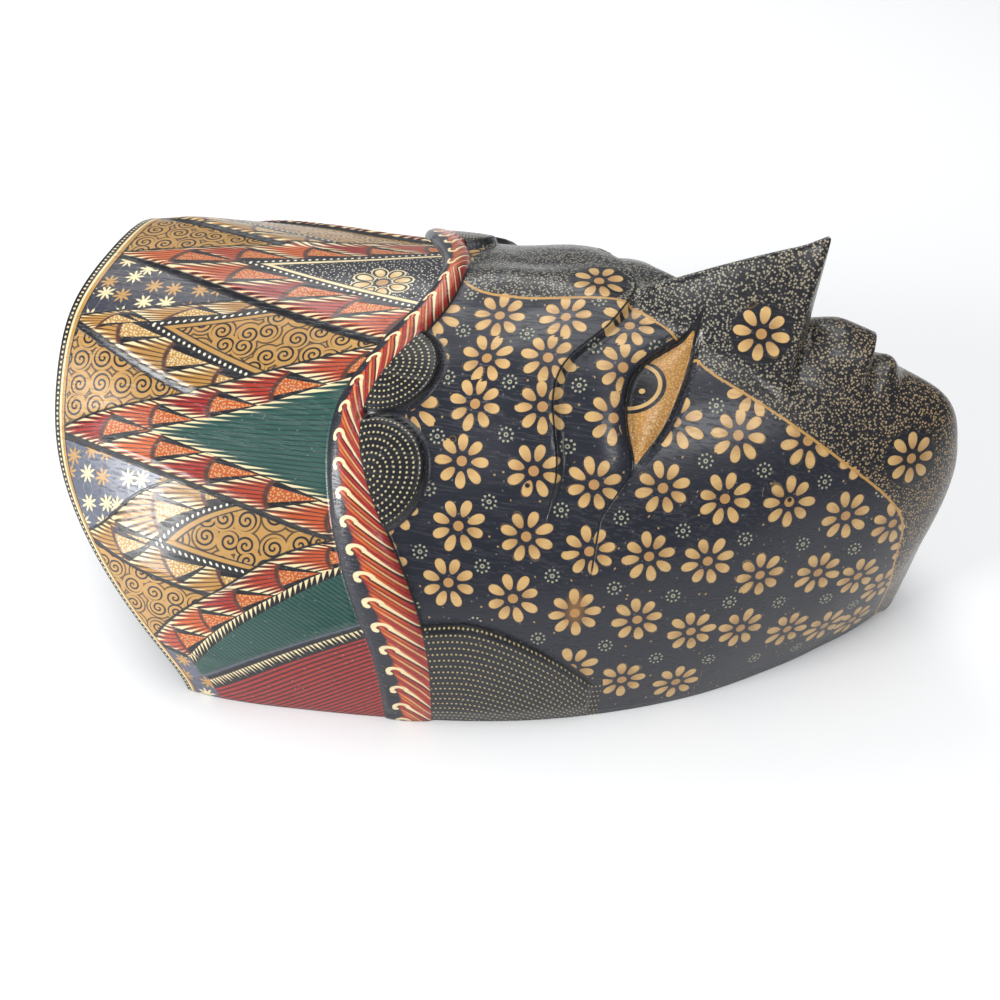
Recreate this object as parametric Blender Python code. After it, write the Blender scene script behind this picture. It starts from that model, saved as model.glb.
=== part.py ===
"""A carved and hollowed wooden face mask, lying on its flat back rim.

The mask is one piece of light wood. X runs from the crown to the chin, Y across the face and Z up
from the rim. A place on the front is given by two numbers: its share of the way along the centre
line, from the crown edge to the chin, and its angle round the section, from 0 degrees at one
foot, over 90 degrees on the centre line, to 180 degrees at the other foot.
"""
import bpy
import numpy as np

# Driving sizes, in metres.
LENGTH = 0.2327
WIDTH = 0.162
FOREHEAD_HEIGHT = 0.0905
WALL = 0.009
CROWN_WALL = 0.011
CORNER_SETBACK = 0.044
NOSE_HEIGHT = 0.0268
NOSE_HALF_WIDTH = 0.0155
NOSE_LEAN = 0.0034
BAND_RISE = 0.003
CURL_RISE = 0.0028
SIDEBURN_RISE = 0.001
BROW_RISE = 0.0024
FOREHEAD_RIDGE = 0.0022
LID_STEP = 0.0014
EYE_DEPTH = 0.0022
MUZZLE_RISE = 0.0056
LOWER_LIP_RISE = 0.0034
CHIN_RISE = 0.0016
WEDGE_RISE = 0.0016
RIDGE_REACH = 0.014
BROW_FADE = 0.012
MUZZLE_REACH = 0.021
NOSE_FOOT_REACH = 0.023
LIP_REACH = 0.018
CHIN_REACH = 0.02

# Centre line of the face without its nose: share of the length, share of the forehead height.
CENTRE_LINE = ((0, 0.878), (0.163, 0.906), (0.318, 0.934), (0.455, 0.978), (0.584, 1.0),
               (0.692, 0.989), (0.778, 0.961), (0.842, 0.923), (0.894, 0.879), (0.949, 0.82),
               (0.983, 0.725), (0.999, 0.59), (0.998, 0.41), (0.996, 0.2), (0.994, 0.0))
# Outline of the foot, point for point with the centre line: share of the length, of half the width.
FOOT_LINE = ((0, 0.815), (0.163, 1.0), (0.318, 0.994), (0.455, 0.938), (0.584, 0.852),
             (0.679, 0.75), (0.748, 0.653), (0.799, 0.563), (0.842, 0.472), (0.877, 0.392),
             (0.905, 0.32), (0.928, 0.261), (0.947, 0.206), (0.962, 0.157), (0.972, 0.115))
SQUARENESS = 0.06
SHOULDER = 0.035
SHOULDER_ANGLE = 66
CORNER_SHARPNESS = 10.2

# Carved lines, as (angle, share along) for one half of the face. The other half mirrors it.
BAND_CROWN_SIDE = ((0, 0.329), (15, 0.321), (30, 0.293), (45, 0.271), (60, 0.266), (75, 0.297), (90, 0.319))
BAND_FACE_SIDE = ((0, 0.371), (15, 0.369), (30, 0.347), (45, 0.308), (60, 0.292), (75, 0.326), (90, 0.342))
BROW_LINE = ((40, 0.449), (49, 0.452), (63, 0.439), (70, 0.446), (76, 0.465), (82, 0.477), (90, 0.484))
UPPER_LID = ((41, 0.492), (50, 0.51), (56, 0.502), (64, 0.495), (70, 0.5), (77, 0.523), (83, 0.538))
LOWER_LID = ((41, 0.493), (50, 0.5135), (56, 0.528), (63, 0.5365), (70, 0.54), (77, 0.541), (83, 0.5395))
EYE_CORNERS = (50, 82)
SIDEBURN_EDGE = ((0.36, 22), (0.40, 22.4), (0.44, 19.4), (0.477, 14.6), (0.51, 8.7))
SIDEBURN_END = 0.51
# Arc of one degree round the section, as a share of the width, by share along.
ARC_PER_DEGREE = ((0, 0.0079), (0.3, 0.00877), (0.5, 0.00833), (0.65, 0.0071), (0.8, 0.00556), (1, 0.00309))
# Corners of the crown's wedges round its edge: (angle, number of wedges from the centre line).
WEDGE_CORNERS = ((0, 4.65), (11.3, 4), (26.9, 3), (43.1, 2), (66.7, 1), (90, 0))
WEDGE_CLOSING = 0.2
WEDGE_BOW = 0.3
BOW_MIDDLE = 2.1
WEDGE_FALL = 0.3
LAST_WEDGE = 4.5
WALL_RUN = 0.11
# Curls of hair beside the band: place along, angle, half length, half width in metres.
CURLS = ((0.300, 66.5, 0.0135, 0.0125), (0.305, 47.5, 0.0135, 0.0140))

# Nose and mouth, as shares along the centre line.
NOSE_ROOT = 0.478
NOSE_TIP = 0.614
NOSE_BASE = 0.623
NOSE_ROOT_WIDTH = 0.3
MOUTH = 0.678
LOWER_LIP = 0.696
CHIN_BALL = 0.755

# Fineness of the carved surface before it is thinned, and the number of triangles kept.
ROWS = (70, 18, 110, 16, 64)
COLUMNS = 200
TRIANGLES = 9400
WOOD_COLOUR = (0.012, 0.013, 0.02, 1)


def smooth(stations, place):
    """Read a natural cubic spline through (place, value) stations at the given places."""
    at, value = np.array(stations, dtype=float).T
    gap = np.diff(at)
    system = np.eye(len(at))
    bend = np.zeros(len(at))
    for k in range(1, len(at) - 1):
        system[k, k - 1:k + 2] = gap[k - 1], 2 * (gap[k - 1] + gap[k]), gap[k]
        bend[k] = 6 * ((value[k + 1] - value[k]) / gap[k] - (value[k] - value[k - 1]) / gap[k - 1])
    bend = np.linalg.solve(system, bend)
    k = np.clip(np.searchsorted(at, place) - 1, 0, len(gap) - 1)
    up = np.clip((place - at[k]) / gap[k], 0, 1)
    down = 1 - up
    curved = (down ** 3 - down) * bend[k] + (up ** 3 - up) * bend[k + 1]
    return down * value[k] + up * value[k + 1] + curved * gap[k] ** 2 / 6


def across_face(stations, side):
    """Read a carved line at the given angles of the first half, smooth over the centre line too."""
    mirrored = [(180 - angle, place) for angle, place in reversed(stations) if angle < 90]
    return smooth(tuple(stations) + tuple(mirrored), side)


def ramp(value, start, stop):
    """Rise smoothly from 0 at start to 1 at stop."""
    f = np.clip((value - start) / (stop - start), 0, 1)
    return f * f * (3 - 2 * f)


def bump(value, middle, reach):
    """A smooth bump of height 1 at the middle that ends at the given reach."""
    return 1 - ramp(np.abs(value - middle), 0, reach)


def inset(line, depth):
    """Move the points of an outline inwards by a depth, square to the outline."""
    run = np.gradient(line, axis=0)
    run /= np.hypot(run[:, 0], run[:, 1])[:, None]
    return line + depth * np.stack([run[:, 1], -run[:, 0]], axis=-1)


CENTRE = np.array(CENTRE_LINE) * (LENGTH, FOREHEAD_HEIGHT)
FOOT = np.array(FOOT_LINE) * (LENGTH, WIDTH / 2)
RUN = np.concatenate(([0], np.cumsum(np.hypot(*np.diff(CENTRE, axis=0).T))))
CENTRE_LENGTH = RUN[-1]
STATION = RUN / CENTRE_LENGTH


def half(angle):
    """Fold an angle of either half onto the first half, 0 to 90 degrees."""
    return 90 - np.abs(angle - 90)


def plain_front(along, angle, depth=0.0):
    """The smooth front before carving: an arched section from foot to foot at each place along.

    The section is an ellipse between the foot line and the centre line, a little squarer than
    true, with a soft shoulder near the crown edge. A depth moves both lines inwards.
    """
    centre = inset(CENTRE, depth)
    foot = inset(FOOT, depth)
    x_top = smooth(np.c_[STATION, centre[:, 0]], along)
    z_top = smooth(np.c_[STATION, centre[:, 1]], along)
    x_foot = smooth(np.c_[STATION, foot[:, 0]], along)
    y_foot = smooth(np.c_[STATION, foot[:, 1]], along)
    turn = np.radians(angle)
    sine = np.sin(turn)
    swell = 1 + SHOULDER * np.exp(-((half(angle) - SHOULDER_ANGLE) / 14) ** 2) * ramp(along, 0.16, 0.0)
    x = x_foot + (x_top - x_foot) * sine
    y = -y_foot * (np.cos(turn) - SQUARENESS * sine * np.sin(2 * turn)) * swell
    z = z_top * sine * swell
    return np.stack([x - LENGTH / 2, y, z], axis=-1)


def outward(along, angle):
    """Unit normals of the smooth front, from small steps along and round it."""
    step = 1e-4
    low = np.clip(along - step, 0, 1)
    high = np.clip(along + step, 0, 1)
    near = np.clip(angle - 0.1, 0, 180)
    far = np.clip(angle + 0.1, 0, 180)
    down = plain_front(high, angle) - plain_front(low, angle)
    across = plain_front(along, far) - plain_front(along, near)
    normal = np.cross(down, across)
    return normal / np.linalg.norm(normal, axis=-1, keepdims=True)


def crown_edge(angle):
    """Share along of the crown's cut edge, which curves back towards both feet."""
    return CORNER_SETBACK / CENTRE_LENGTH * np.abs(np.cos(np.radians(angle))) ** CORNER_SHARPNESS


def round_length(along, angle_gap):
    """Length in metres of an angle step round the section."""
    return angle_gap * smooth(ARC_PER_DEGREE, along) * WIDTH


def crown_place(along, angle):
    """Place on the crown: share t from its cut edge to the band, and wedges w from the centre line.

    On this pair of numbers, the lines from each corner of the edge run at one wedge to one t.
    """
    start = crown_edge(angle)
    t = (along - start) / (across_face(BAND_CROWN_SIDE, half(angle)) - start)
    w = smooth(WEDGE_CORNERS, half(angle))
    bow = WEDGE_BOW * np.sin(np.pi * np.clip(t, 0, 1)) * bump(w, BOW_MIDDLE, 1)
    w = w / (1 - WEDGE_CLOSING * np.clip(t, 0, 1)) + bow
    return t, w * np.where(angle > 90, -1, 1)


def crown_relief(along, angle):
    """Wedges that open from corners on the crown edge, each with its lower side standing proud."""
    t, w = crown_place(along, angle)
    rise = np.zeros_like(w)
    for parity in (1, 0):
        corner = parity + 2 * np.round((w - parity) / 2)
        back = np.maximum(corner + t - w, 0)
        inside = ramp(t - np.abs(w - corner), 0, WALL_RUN)
        rise = rise * (1 - inside) + inside * np.exp(-back / WEDGE_FALL)
    last = LAST_WEDGE - 0.3 * t - np.abs(w)
    inside = ramp(last, 0, WALL_RUN)
    last_step = np.exp(-np.maximum(last, 0) / WEDGE_FALL)
    rise = np.where(np.abs(w) > 3.6, np.maximum(rise, last_step), rise) * inside
    return WEDGE_RISE * rise * ramp(t, 0.02, 0.2) * ramp(t, 1.02, 0.98) * ramp(half(angle), 0, 6)


def carving(along, angle):
    """Height of the carving over the smooth front, in metres, all but the nose."""
    side = half(angle)
    across = round_length(along, 90 - side)
    rise = crown_relief(along, angle)
    low = across_face(BAND_CROWN_SIDE, side)
    high = across_face(BAND_FACE_SIDE, side)
    f = np.clip((along - low) / (high - low), 0, 1)
    over_band = ramp(along, low, low + 0.006)
    band = BAND_RISE * np.clip(4 * f * (1 - f), 0, 1) ** 0.45 * (0.25 + 0.75 * ramp(side, 0, 32))
    hair = np.zeros_like(band)
    for place, turn, half_length, half_width in CURLS:
        reach = np.hypot((along - place) * CENTRE_LENGTH / half_length,
                         round_length(along, side - turn) / half_width)
        hair = np.maximum(hair, CURL_RISE * ramp(reach, 1.04, 0.9) * (1 - 0.25 * reach ** 2))
    hair = hair * over_band
    leaf = ramp(smooth(SIDEBURN_EDGE, along) - side, 0, 1.2) * ramp(side, 0, 4) * over_band
    leaf = leaf * ramp(along, SIDEBURN_END, SIDEBURN_END - 0.007)
    rise = rise + np.maximum(np.maximum(band, hair), SIDEBURN_RISE * leaf)
    ridge_run = ramp(along, 0.30, 0.38) * ramp(along, 0.52, 0.45)
    rise = rise + FOREHEAD_RIDGE * bump(across, 0, RIDGE_REACH) * ridge_run
    brow = across_face(BROW_LINE, side)
    over_eye = ramp(side, 40, 50) * ramp(across, -BROW_FADE / 3, BROW_FADE)
    brow_run = ramp(along, brow - 0.085, brow - 0.01) * ramp(along, brow + 0.006, brow)
    rise = rise + BROW_RISE * brow_run * over_eye
    lid_low = across_face(UPPER_LID, side)
    lid_high = across_face(LOWER_LID, side)
    lid = np.clip((along - brow) / (lid_low - brow), 0, 1)
    lid_end = ramp(side, 41, 50) * ramp(side, 86, 78)
    rise = rise + LID_STEP * np.sin(np.pi * lid ** 1.6) ** 0.8 * lid_end * (along < lid_low)
    gap = np.maximum(lid_high - lid_low, 1e-5)
    f = np.clip((along - lid_low) / gap, 0, 1)
    slit = ramp(along, lid_low - 0.002, lid_low + 0.003) * ramp(along, lid_high + 0.004, lid_high)
    opening = slit * ramp(side, EYE_CORNERS[0], EYE_CORNERS[0] + 5)
    opening = opening * ramp(side, EYE_CORNERS[1], EYE_CORNERS[1] - 4)
    rise = rise - EYE_DEPTH * opening * (1 - 0.45 * np.sin(np.pi * f))
    muzzle = ramp(along, NOSE_BASE - 0.012, MOUTH - 0.03) * ramp(along, MOUTH + 0.004, MOUTH - 0.004)
    rise = rise + MUZZLE_RISE * muzzle * bump(across, 0, MUZZLE_REACH)
    under_nose = ramp(along, NOSE_TIP - 0.02, NOSE_BASE) * ramp(along, MOUTH + 0.01, MOUTH)
    rise = rise + 0.35 * MUZZLE_RISE * under_nose * bump(across, 0, NOSE_FOOT_REACH)
    rise = rise + LOWER_LIP_RISE * bump(along, LOWER_LIP, 0.019) * bump(across, 0, LIP_REACH)
    return rise + CHIN_RISE * bump(along, CHIN_BALL, 0.045) * bump(across, 0, CHIN_REACH)


def nose(along, angle, front):
    """Raise the blade of the nose: sides that fall from a sharp ridge and flare into the cheeks.

    The ridge leans a little towards the chin.
    """
    across = np.abs(front[..., 1])
    up = np.clip((along - NOSE_ROOT) / (NOSE_TIP - NOSE_ROOT), 0, 1)
    under = np.clip((along - NOSE_TIP) / (NOSE_BASE - NOSE_TIP), 0, 1)
    width = NOSE_HALF_WIDTH * (NOSE_ROOT_WIDTH + (1 - NOSE_ROOT_WIDTH) * up)
    side = np.clip(1 - across / width, 0, 1)
    ridge = NOSE_HEIGHT * up ** 0.95 * (1 - under)
    lift = ridge * side ** 1.55
    front[..., 2] += lift
    front[..., 0] += NOSE_LEAN * lift / NOSE_HEIGHT
    return front


def mask_front(along, angle):
    """The carved front of the mask."""
    front = plain_front(along, angle) + outward(along, angle) * carving(along, angle)[..., None]
    return nose(along, angle, front)


def rows_along(angle):
    """Rows of points from the crown edge to the chin that follow the band's two sides."""
    marks = [crown_edge(angle), across_face(BAND_CROWN_SIDE, half(angle)),
             across_face(BAND_FACE_SIDE, half(angle)), np.full_like(angle, NOSE_TIP),
             np.full_like(angle, NOSE_BASE), np.ones_like(angle)]
    pieces = []
    for number, count in enumerate(ROWS):
        share = np.arange(count)[:, None] / count
        pieces.append(marks[number] * (1 - share) + marks[number + 1] * share)
    pieces.append(marks[-1][None, :])
    return np.concatenate(pieces)


def column_angles():
    """Angles round the section, closer together near the centre line."""
    share = np.linspace(-1, 1, COLUMNS + 1)
    return 90 + 90 * (0.62 * share + 0.38 * share ** 3)


def inner_back(along, angle):
    """The hollow behind the face: the smooth front moved inwards by the wall, cut off at the rim."""
    crown = CROWN_WALL / CENTRE_LENGTH * (1 - along)
    back = plain_front(along + crown, angle, WALL)
    back[-1, :, 2] = 0
    return back


def closed_shell(front, back):
    """Join the front and the back by the rim and by the walls across the crown end."""
    rows, columns = front.shape[:2]
    number = np.arange(rows * columns).reshape(rows, columns)
    behind = number + rows * columns

    def strip(a, b):
        return np.stack([a[:-1], a[1:], b[1:], b[:-1]], axis=-1).reshape(-1, 4)

    front_quads = [number[:-1, :-1], number[1:, :-1], number[1:, 1:], number[:-1, 1:]]
    back_quads = [behind[:-1, :-1], behind[:-1, 1:], behind[1:, 1:], behind[1:, :-1]]
    faces = [np.stack(front_quads, axis=-1).reshape(-1, 4),
             np.stack(back_quads, axis=-1).reshape(-1, 4),
             strip(number[:, -1], behind[:, -1]),
             strip(behind[:, 0], number[:, 0]),
             strip(behind[-1], number[-1])]
    middle = columns // 2
    crown = []
    for grid, order in ((number, 1), (behind, -1)):
        near = grid[0, :middle]
        far = grid[0, ::-1][:middle]
        faces.append(strip(near, far)[:, ::order])
        crown.append([near[-1], grid[0, middle], far[-1]][::order])
    bottom = [number[0, 0], number[0, -1], behind[0, -1], behind[0, 0]]
    quads = np.concatenate(faces).tolist()
    points = np.concatenate([front.reshape(-1, 3), back.reshape(-1, 3)])
    return points, quads + crown + [bottom]


def wood():
    """Light wood painted and lacquered nearly black."""
    material = bpy.data.materials.new("lacquered wood")
    material.use_nodes = True
    shader = material.node_tree.nodes["Principled BSDF"]
    shader.inputs["Base Color"].default_value = WOOD_COLOUR
    shader.inputs["Roughness"].default_value = 0.35
    return material


for old in list(bpy.data.objects):
    bpy.data.objects.remove(old)

angles = column_angles()
along_rows = rows_along(angles)
angle_rows = np.broadcast_to(angles, along_rows.shape)
points, faces = closed_shell(mask_front(along_rows, angle_rows), inner_back(along_rows, angle_rows))
mesh = bpy.data.meshes.new("mask")
mesh.from_pydata(points.tolist(), [], faces)
mesh.validate()
mask = bpy.data.objects.new("mask", mesh)
bpy.context.scene.collection.objects.link(mask)
mesh.materials.append(wood())
thin = mask.modifiers.new("thin out", "DECIMATE")
thin.ratio = TRIANGLES / sum(len(face.vertices) - 2 for face in mesh.polygons)
print("quads", len(mesh.polygons))
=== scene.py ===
import bpy
import numpy as np
from mathutils import Matrix, Vector


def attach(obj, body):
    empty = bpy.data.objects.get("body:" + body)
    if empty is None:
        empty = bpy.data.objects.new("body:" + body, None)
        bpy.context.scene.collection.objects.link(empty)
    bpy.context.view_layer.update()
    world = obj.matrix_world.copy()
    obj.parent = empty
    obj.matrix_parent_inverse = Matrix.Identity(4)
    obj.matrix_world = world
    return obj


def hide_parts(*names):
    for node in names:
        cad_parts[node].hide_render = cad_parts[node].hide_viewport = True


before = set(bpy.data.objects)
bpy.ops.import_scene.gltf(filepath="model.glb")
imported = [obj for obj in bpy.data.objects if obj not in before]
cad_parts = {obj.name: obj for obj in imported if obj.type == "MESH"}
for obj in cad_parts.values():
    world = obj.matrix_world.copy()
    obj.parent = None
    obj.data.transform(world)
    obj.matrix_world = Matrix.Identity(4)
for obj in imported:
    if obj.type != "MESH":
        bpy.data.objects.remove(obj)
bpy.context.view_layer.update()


# Camera, table and light. The mask lies on a white table under broad soft light, seen from its own
# right side and from above, a little towards the chin.
CAMERA_PLACE = (0.04955, -0.2180, 0.24968)
CAMERA_RIGHT = (0.97045, 0.24129, -0.00136)
CAMERA_UP = (-0.17581, 0.71091, 0.68095)
CAMERA_AHEAD = (-0.16527, 0.66059, -0.73232)
FOCAL_WIDTHS = 1.0719
NEAREST_SEEN = 0.01
TABLE_SIZE = 6.0
TABLE_DROP = 0.0002
TABLE_WHITE = (0.97, 0.975, 0.98, 1)
TABLE_ROUGHNESS = 0.6
ROOM_WHITE = (0.93, 0.96, 1.0, 1)
ROOM_GLOW = 0.27
LIGHT_DISTANCE = 1.2
# Name, azimuth and elevation in degrees, side in metres, power in watts.
LIGHTS = (("ceiling", 60, 80, 0.9, 6), ("window", -139, 22, 0.45, 11), ("far window", 126, 48, 0.6, 4),
          ("near lamp", -55, 47, 0.4, 2.8))
scene = bpy.context.scene


def placed(name, data):
    """A new object in the scene."""
    body = bpy.data.objects.new(name, data)
    scene.collection.objects.link(body)
    return body


def table_top():
    """A flat square just under the plane that the rim rests on."""
    mesh = bpy.data.meshes.new("table_top")
    half = TABLE_SIZE / 2
    corners = [(x * half, y * half, -TABLE_DROP) for x, y in ((-1, -1), (1, -1), (1, 1), (-1, 1))]
    mesh.from_pydata(corners, [], [(0, 1, 2, 3)])
    paint = bpy.data.materials.new("white table")
    paint.use_nodes = True
    shader = paint.node_tree.nodes["Principled BSDF"]
    shader.inputs["Base Color"].default_value = TABLE_WHITE
    shader.inputs["Roughness"].default_value = TABLE_ROUGHNESS
    mesh.materials.append(paint)
    return placed("table_top", mesh)


def soft_light(name, azimuth, height, size, power):
    """A square area light in a direction from the mask, turned to face it."""
    turn, rise = np.radians((azimuth, height))
    level = np.cos(rise)
    place = LIGHT_DISTANCE * np.array((np.cos(turn) * level, np.sin(turn) * level, np.sin(rise)))
    data = bpy.data.lights.new(name, "AREA")
    data.size = size
    data.energy = power
    light = placed(name, data)
    light.location = place
    light.rotation_euler = (-Vector(place)).to_track_quat("-Z", "Y").to_euler()


camera_data = bpy.data.cameras.new("camera")
camera_data.lens = camera_data.sensor_width * FOCAL_WIDTHS
camera_data.clip_start = NEAREST_SEEN
camera = placed("camera", camera_data)
turn = Matrix((CAMERA_RIGHT, CAMERA_UP, -Vector(CAMERA_AHEAD))).transposed().to_4x4()
camera.matrix_world = Matrix.Translation(CAMERA_PLACE) @ turn
scene.camera = camera
table_top()
for light in LIGHTS:
    soft_light(*light)
world = bpy.data.worlds.new("pale room")
world.use_nodes = True
room = world.node_tree.nodes["Background"].inputs
room["Color"].default_value = ROOM_WHITE
room["Strength"].default_value = ROOM_GLOW
scene.world = world
scene.view_settings.view_transform = "Standard"


# The carved wood. One block of light wood, carved in front and hollowed behind, lying on its flat
# rim. A place on the front is a share along the centre line, from the crown edge to the chin, and
# an angle round the section, from 0 at one foot over 90 on the centre line to 180 at the other.
LENGTH = 0.2327
WIDTH = 0.162
FOREHEAD_HEIGHT = 0.0905
WALL = 0.009
CROWN_WALL = 0.011
CORNER_SETBACK = 0.044
NOSE_HEIGHT = 0.0268
NOSE_HALF_WIDTH = 0.0155
NOSE_LEAN = 0.0034
BAND_RISE = 0.003
CURL_RISE = 0.0028
SIDEBURN_RISE = 0.001
BROW_RISE = 0.0024
FOREHEAD_RIDGE = 0.0022
LID_STEP = 0.0014
EYE_DEPTH = 0.0022
MUZZLE_RISE = 0.0056
NOSE_FOOT_RISE = 0.00196
LOWER_LIP_RISE = 0.0034
CHIN_RISE = 0.0016
WEDGE_RISE = 0.0016
RIDGE_REACH = 0.014
BROW_FADE = 0.012
MUZZLE_REACH = 0.021
NOSE_FOOT_REACH = 0.023
LIP_REACH = 0.018
CHIN_REACH = 0.02
# Outlines as shares of length and height or half width; carved lines as angle and share of the run.
CENTRE_LINE = ((0, 0.878), (0.163, 0.906), (0.318, 0.934), (0.455, 0.978), (0.584, 1.0),
               (0.692, 0.989), (0.778, 0.961), (0.842, 0.923), (0.894, 0.879), (0.949, 0.82),
               (0.983, 0.725), (0.999, 0.59), (0.998, 0.41), (0.996, 0.2), (0.994, 0.0))
FOOT_LINE = ((0, 0.815), (0.163, 1.0), (0.318, 0.994), (0.455, 0.938), (0.584, 0.852),
             (0.679, 0.75), (0.748, 0.653), (0.799, 0.563), (0.842, 0.472), (0.877, 0.392),
             (0.905, 0.32), (0.928, 0.261), (0.947, 0.206), (0.962, 0.157), (0.972, 0.115))
SQUARENESS = 0.06
SHOULDER = 0.035
SHOULDER_ANGLE = 66
SHOULDER_SPREAD = 14
CORNER_SHARPNESS = 10.2
BAND_CROWN_SIDE = ((0, 0.329), (15, 0.321), (30, 0.293), (45, 0.271), (60, 0.266), (75, 0.297), (90, 0.319))
BAND_FACE_SIDE = ((0, 0.371), (15, 0.369), (30, 0.347), (45, 0.308), (60, 0.292), (75, 0.326), (90, 0.342))
BROW_LINE = ((40, 0.449), (49, 0.452), (63, 0.439), (70, 0.446), (76, 0.465), (82, 0.477), (90, 0.484))
UPPER_LID = ((41, 0.492), (50, 0.51), (56, 0.502), (64, 0.495), (70, 0.5), (77, 0.523), (83, 0.538))
LOWER_LID = ((41, 0.493), (50, 0.5135), (56, 0.528), (63, 0.5365), (70, 0.54), (77, 0.541), (83, 0.5395))
SIDEBURN_EDGE = ((0.36, 22), (0.40, 22.4), (0.44, 19.4), (0.477, 14.6), (0.51, 8.7))
SIDEBURN_END = 0.51
ARC_PER_DEGREE = ((0, 0.0079), (0.3, 0.00877), (0.5, 0.00833), (0.65, 0.0071), (0.8, 0.00556), (1, 0.00309))
WEDGE_CORNERS = ((0, 4.65), (11.3, 4), (26.9, 3), (43.1, 2), (66.7, 1), (90, 0))
WEDGE_CLOSING = 0.2
WEDGE_BOW = 0.3
BOW_MIDDLE = 2.1
WEDGE_FALL = 0.3
LAST_WEDGE = 4.5
WALL_RUN = 0.07
CURLS = ((0.300, 66.5, 0.0135, 0.0125), (0.305, 47.5, 0.0135, 0.0140))
NOSE_ROOT = 0.478
NOSE_TIP = 0.614
NOSE_BASE = 0.623
NOSE_ROOT_WIDTH = 0.3
MOUTH = 0.678
LOWER_LIP = 0.696
CHIN_BALL = 0.755
# Spans: where a form starts, is full, begins to fade and ends, along the run or round the side.
CROWN_SPAN = (0.02, 0.2, 0.98, 1.02)
RIDGE_SPAN = (0.30, 0.38, 0.45, 0.52)
BROW_SPAN = (-0.085, -0.01, 0, 0.004)
BROW_END = (40, 50)
LID_SPAN = (41, 50, 78, 86)
EYE_SPAN = (50, 55, 78, 82)
MUZZLE_SPAN = (NOSE_BASE - 0.012, MOUTH - 0.03, MOUTH - 0.004, MOUTH + 0.003)
NOSE_FOOT_SPAN = (NOSE_TIP - 0.02, NOSE_BASE, MOUTH, MOUTH + 0.01)
ROWS = (108, 27, 117, 24, 90)
COLUMNS = 240
BACK_STEP = 3
RIDGE_ROUND = 0.0017
NOSE_CLOSING = 0.4


def smooth(stations, place):
    """Natural cubic spline through (place, value) stations: bends from one tridiagonal solve."""
    at, value = np.array(stations, dtype=float).T
    gap = np.diff(at)
    system = np.eye(len(at))
    bend = np.zeros(len(at))
    for k in range(1, len(at) - 1):
        system[k, k - 1:k + 2] = gap[k - 1], 2 * (gap[k - 1] + gap[k]), gap[k]
        bend[k] = 6 * ((value[k + 1] - value[k]) / gap[k] - (value[k] - value[k - 1]) / gap[k - 1])
    bend = np.linalg.solve(system, bend)
    k = np.clip(np.searchsorted(at, place) - 1, 0, len(gap) - 1)
    up = np.clip((place - at[k]) / gap[k], 0, 1)
    down = 1 - up
    curved = (down ** 3 - down) * bend[k] + (up ** 3 - up) * bend[k + 1]
    return down * value[k] + up * value[k + 1] + curved * gap[k] ** 2 / 6


def across_face(stations, side):
    """The spline of a carved line, with its stations mirrored over the centre line first."""
    mirrored = [(180 - angle, place) for angle, place in reversed(stations) if angle < 90]
    return smooth(tuple(stations) + tuple(mirrored), side)


def ramp(value, start, stop):
    """Smooth step 3f^2 - 2f^3 from 0 at start to 1 at stop."""
    f = np.clip((value - start) / (stop - start), 0, 1)
    return f * f * (3 - 2 * f)


def between(value, start, full, fade, end):
    """Smooth step up from start to full, times the smooth step down from fade to end."""
    return ramp(value, start, full) * ramp(value, end, fade)


def bump(value, middle, reach):
    """One minus the smooth step of the distance from the middle: 1 there, 0 past the reach."""
    return 1 - ramp(np.abs(value - middle), 0, reach)


def half(angle):
    """Distance from the centre line folded onto one half: 90 - |angle - 90|."""
    return 90 - np.abs(angle - 90)


def unit(vectors):
    """Each vector divided by its length."""
    return vectors / np.linalg.norm(vectors, axis=-1, keepdims=True)


def inset(line, depth):
    """Each point of an outline moved inwards by the depth, square to the line's direction there."""
    run = unit(np.gradient(line, axis=0))
    return line + depth * np.stack([run[:, 1], -run[:, 0]], axis=-1)


CENTRE = np.array(CENTRE_LINE) * (LENGTH, FOREHEAD_HEIGHT)
FOOT = np.array(FOOT_LINE) * (LENGTH, WIDTH / 2)
RUN = np.concatenate(([0], np.cumsum(np.hypot(*np.diff(CENTRE, axis=0).T))))
CENTRE_LENGTH = RUN[-1]
STATION = RUN / CENTRE_LENGTH


def plain_front(along, angle, depth=0.0):
    """Arched sections: x and z go from foot to top by sin(angle), y by -cos(angle), squared a little."""
    x_top, z_top, x_foot, y_foot = [smooth(np.c_[STATION, values], along) for values in (
        *inset(CENTRE, depth).T, *inset(FOOT, depth).T)]
    turn = np.radians(angle)
    sine = np.sin(turn)
    shoulder = np.exp(-((half(angle) - SHOULDER_ANGLE) / SHOULDER_SPREAD) ** 2)
    swell = 1 + SHOULDER * shoulder * ramp(along, 0.16, 0.0)
    x = x_foot + (x_top - x_foot) * sine
    y = -y_foot * (np.cos(turn) - SQUARENESS * sine * np.sin(2 * turn)) * swell
    z = z_top * sine * swell
    return np.stack([x - LENGTH / 2, y, z], axis=-1)


def outward(along, angle):
    """Unit normals: the cross product of a small step along and a small step round the section."""
    step = 1e-4
    before, after = [plain_front(np.clip(along + way, 0, 1), angle) for way in (-step, step)]
    left, right = [plain_front(along, np.clip(angle + way, 0, 180)) for way in (-0.1, 0.1)]
    return unit(np.cross(after - before, right - left))


def crown_edge(angle):
    """Setback of the crown's cut edge: a high power of |cos(angle)|, nothing at the top."""
    return CORNER_SETBACK / CENTRE_LENGTH * np.abs(np.cos(np.radians(angle))) ** CORNER_SHARPNESS


def round_length(along, angle_gap):
    """Length of an angle step round the section, in metres: degrees times the arc per degree."""
    return angle_gap * smooth(ARC_PER_DEGREE, along) * WIDTH


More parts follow.
